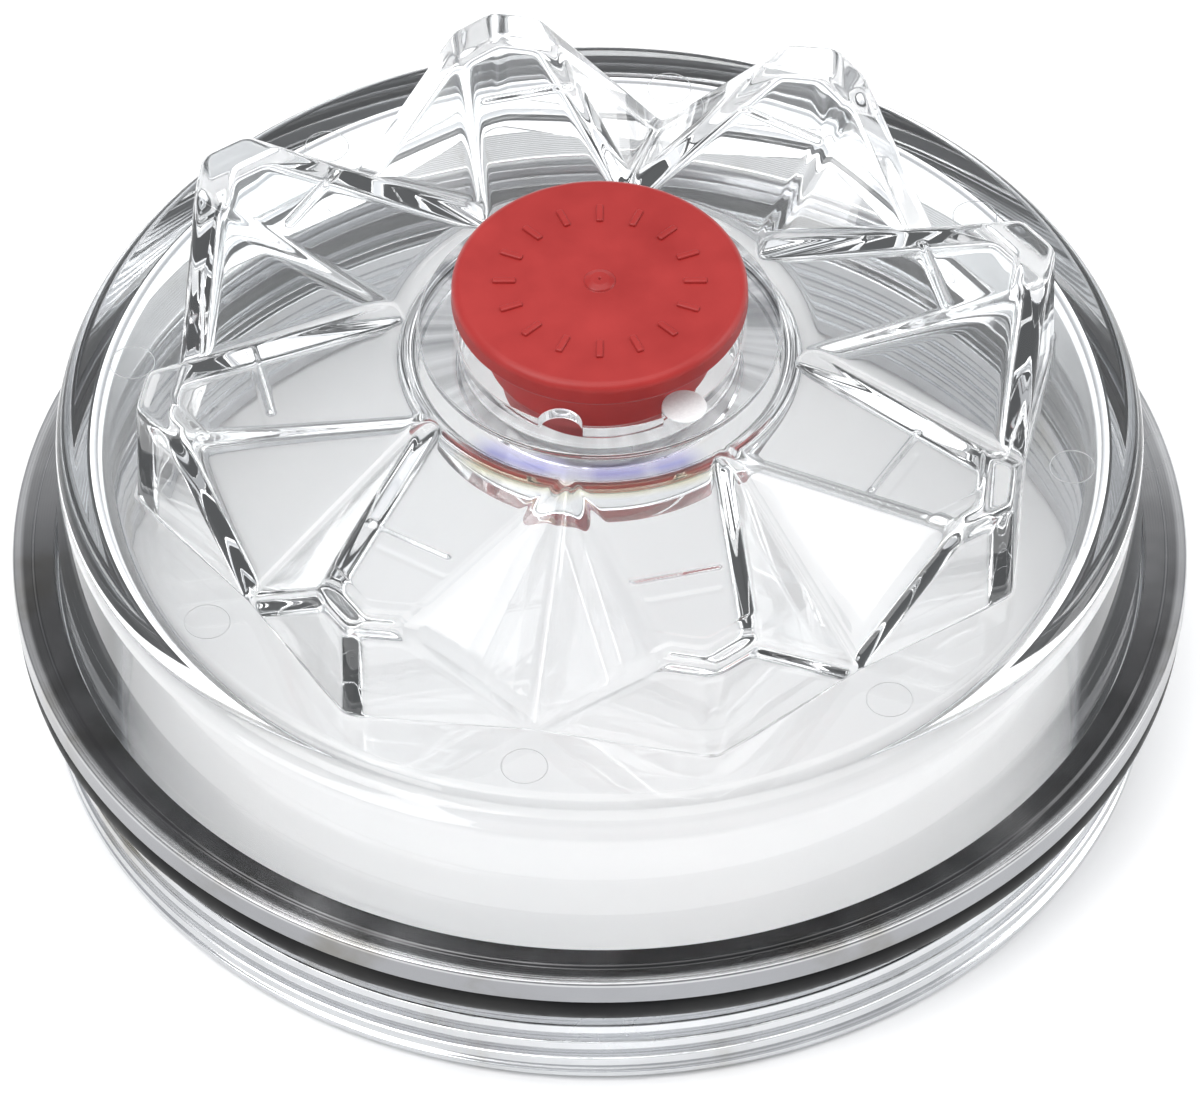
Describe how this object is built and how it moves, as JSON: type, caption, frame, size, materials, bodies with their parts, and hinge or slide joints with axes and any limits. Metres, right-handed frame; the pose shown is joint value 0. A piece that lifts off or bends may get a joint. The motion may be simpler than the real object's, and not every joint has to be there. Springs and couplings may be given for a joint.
{
  "type": "screw-in oil hub cap",
  "caption": "Screw-in wheel hub cap with a threaded metal ring, a sealing ring, a clear faceted sight window and a pull-out rubber fill plug.",
  "frame": {"origin": "on the axis, level with the open lower end of the threaded skirt", "axes": "+Z along the axis, from the open threaded end towards the fill plug"},
  "size_m": [0.1544, 0.1544, 0.0721],
  "materials": {
    "ring_metal": "turned and polished",
    "seal_rubber": "smooth satin",
    "clear_window": "clear moulded",
    "plug_rubber": "satin"
  },
  "bodies": {
    "cap": {"housing_ring": "ring_metal", "flange_seal": "seal_rubber", "window_seal": "seal_rubber", "window": "clear_window"},
    "plug": {"fill_plug": "plug_rubber"}
  },
  "joints": [
    {"name": "plug_pull", "type": "slide", "parent": "cap", "child": "plug", "axis": [0, 0, 1], "range_m": [0, 0.025]}
  ]
}
